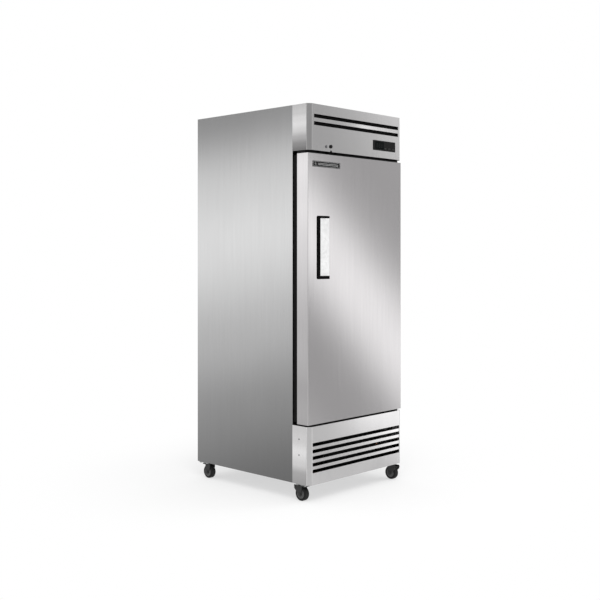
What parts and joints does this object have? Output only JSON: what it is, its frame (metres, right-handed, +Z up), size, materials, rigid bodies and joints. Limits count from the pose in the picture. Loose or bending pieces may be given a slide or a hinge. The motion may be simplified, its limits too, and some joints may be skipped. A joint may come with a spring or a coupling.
{
  "type": "reach in refrigerator",
  "caption": "Upright solid-door reach-in refrigerator on swivel casters, with louvred header and grille, recessed pull and wire shelves.",
  "frame": {"origin": "on the floor, under the middle of the cabinet's box", "axes": "+Z up, -Y out of the front door, +X to the right as seen from the front"},
  "size_m": [0.756, 0.866, 1.99],
  "materials": {
    "brushed_stainless": "satin",
    "polished_steel": "polished",
    "galvanised_sheet": "satin",
    "liner_aluminium": "satin",
    "fin_aluminium": "matte",
    "zinc_steel": "satin",
    "lock_metal": "satin",
    "black_paint": "satin",
    "black_plastic": "matte",
    "black_gloss_plastic": "gloss",
    "grey_plastic": "satin",
    "smoked_lens": "gloss",
    "nylon": "satin",
    "gasket_rubber": "matte",
    "insulating_foam": "matte",
    "coated_wire": "gloss",
    "copper": "satin",
    "lamp_diffuser": "satin",
    "caster_tyre": "matte"
  },
  "bodies": {
    "cabinet": {"side_panel_left": "brushed_stainless", "side_panel_right": "brushed_stainless", "top_panel": "brushed_stainless", "back_panel": "galvanised_sheet", "wall_insulation": "insulating_foam", "interior_liner": "liner_aluminium", "face_frame": "black_plastic", "header_panel": "brushed_stainless", "vent_screen": "black_paint", "lower_grille": "brushed_stainless", "panel_screws": "zinc_steel", "controller_housing": "black_gloss_plastic", "controller_lens": "smoked_lens", "lock_escutcheon": "black_paint", "pilot_lamp": "grey_plastic", "base_plate": "galvanised_sheet", "compressor": "black_paint", "condenser_coil": "black_paint", "condenser_shroud": "black_plastic", "condenser_fan_motor": "black_paint", "condensate_drain": "black_plastic", "refrigerant_lines": "copper", "electrical_box": "black_plastic", "rear_cover": "galvanised_sheet", "evaporator_cover": "liner_aluminium", "evaporator_coil": "fin_aluminium", "evaporator_fan_motor": "black_paint", "shelf_pilasters": "zinc_steel", "shelf_clips": "zinc_steel", "shelf_lower": "coated_wire", "shelf_middle": "coated_wire", "shelf_upper": "coated_wire", "led_lamp": "lamp_diffuser", "hinge_brackets": "black_paint", "caster_plates": "zinc_steel"},
    "door": {"door_skin": "brushed_stainless", "door_foam": "insulating_foam", "door_edge_frame": "black_plastic", "door_liner": "liner_aluminium", "door_gasket": "gasket_rubber", "hinge_bushes": "nylon", "handle_bezel": "black_plastic", "handle_plate": "polished_steel", "nameplate": "black_gloss_plastic"},
    "lock": {"lock_cylinder": "lock_metal"},
    "key_set": {"key_set": "grey_plastic"},
    "key_up": {"key_up": "grey_plastic"},
    "key_down": {"key_down": "grey_plastic"},
    "condenser_fan": {"condenser_fan": "fin_aluminium"},
    "evaporator_fan": {"evaporator_fan": "black_plastic"},
    "caster_front_left": {"caster_fork_front_left": "black_paint"},
    "wheel_front_left": {"caster_wheel_front_left": "caster_tyre"},
    "brake_front_left": {"brake_pedal_front_left": "black_paint"},
    "caster_front_right": {"caster_fork_front_right": "black_paint"},
    "wheel_front_right": {"caster_wheel_front_right": "caster_tyre"},
    "brake_front_right": {"brake_pedal_front_right": "black_paint"},
    "caster_rear_left": {"caster_fork_rear_left": "black_paint"},
    "wheel_rear_left": {"caster_wheel_rear_left": "caster_tyre"},
    "caster_rear_right": {"caster_fork_rear_right": "black_paint"},
    "wheel_rear_right": {"caster_wheel_rear_right": "caster_tyre"}
  },
  "joints": [
    {"name": "door_hinge", "type": "hinge", "parent": "cabinet", "child": "door", "pos_m": [0.359, -0.385, 1.065], "axis": [0, 0, 1], "range_deg": [0, 115], "stiffness_Nm_per_rad": 5, "springref_deg": -20.05},
    {"name": "lock_turn", "type": "hinge", "parent": "cabinet", "child": "lock", "pos_m": [-0.214, -0.425, 1.785], "axis": [0, -1, 0], "range_deg": [0, 90]},
    {"name": "key_set_press", "type": "slide", "parent": "cabinet", "child": "key_set", "axis": [0, 1, 0], "range_m": [0, 0.001], "stiffness_N_per_m": 800, "springref_m": -0.001},
    {"name": "key_up_press", "type": "slide", "parent": "cabinet", "child": "key_up", "axis": [0, 1, 0], "range_m": [0, 0.001], "stiffness_N_per_m": 800, "springref_m": -0.001},
    {"name": "key_down_press", "type": "slide", "parent": "cabinet", "child": "key_down", "axis": [0, 1, 0], "range_m": [0, 0.001], "stiffness_N_per_m": 800, "springref_m": -0.001},
    {"name": "condenser_fan_spin", "type": "hinge", "parent": "cabinet", "child": "condenser_fan", "pos_m": [0, -0.317, 0.214], "axis": [0, 1, 0], "continuous": true},
    {"name": "evaporator_fan_spin", "type": "hinge", "parent": "cabinet", "child": "evaporator_fan", "pos_m": [0, -0.075, 1.773], "axis": [0, 0, 1], "continuous": true},
    {"name": "swivel_front_left", "type": "hinge", "parent": "cabinet", "child": "caster_front_left", "pos_m": [-0.339, -0.363, 0.084], "axis": [0, 0, 1], "continuous": true},
    {"name": "wheel_front_left_spin", "type": "hinge", "parent": "caster_front_left", "child": "wheel_front_left", "pos_m": [-0.339, -0.345, 0.036], "axis": [1, 0, 0], "continuous": true},
    {"name": "brake_front_left_press", "type": "hinge", "parent": "caster_front_left", "child": "brake_front_left", "pos_m": [-0.339, -0.314, 0.069], "axis": [-1, 0, 0], "range_deg": [0, 9]},
    {"name": "swivel_front_right", "type": "hinge", "parent": "cabinet", "child": "caster_front_right", "pos_m": [0.339, -0.363, 0.084], "axis": [0, 0, 1], "continuous": true},
    {"name": "wheel_front_right_spin", "type": "hinge", "parent": "caster_front_right", "child": "wheel_front_right", "pos_m": [0.339, -0.381, 0.036], "axis": [1, 0, 0], "continuous": true},
    {"name": "brake_front_right_press", "type": "hinge", "parent": "caster_front_right", "child": "brake_front_right", "pos_m": [0.339, -0.412, 0.069], "axis": [1, 0, 0], "range_deg": [0, 9]},
    {"name": "swivel_rear_left", "type": "hinge", "parent": "cabinet", "child": "caster_rear_left", "pos_m": [-0.339, 0.383, 0.084], "axis": [0, 0, 1], "continuous": true},
    {"name": "wheel_rear_left_spin", "type": "hinge", "parent": "caster_rear_left", "child": "wheel_rear_left", "pos_m": [-0.339, 0.365, 0.036], "axis": [1, 0, 0], "continuous": true},
    {"name": "swivel_rear_right", "type": "hinge", "parent": "cabinet", "child": "caster_rear_right", "pos_m": [0.339, 0.383, 0.084], "axis": [0, 0, 1], "continuous": true},
    {"name": "wheel_rear_right_spin", "type": "hinge", "parent": "caster_rear_right", "child": "wheel_rear_right", "pos_m": [0.339, 0.365, 0.036], "axis": [1, 0, 0], "continuous": true}
  ]
}
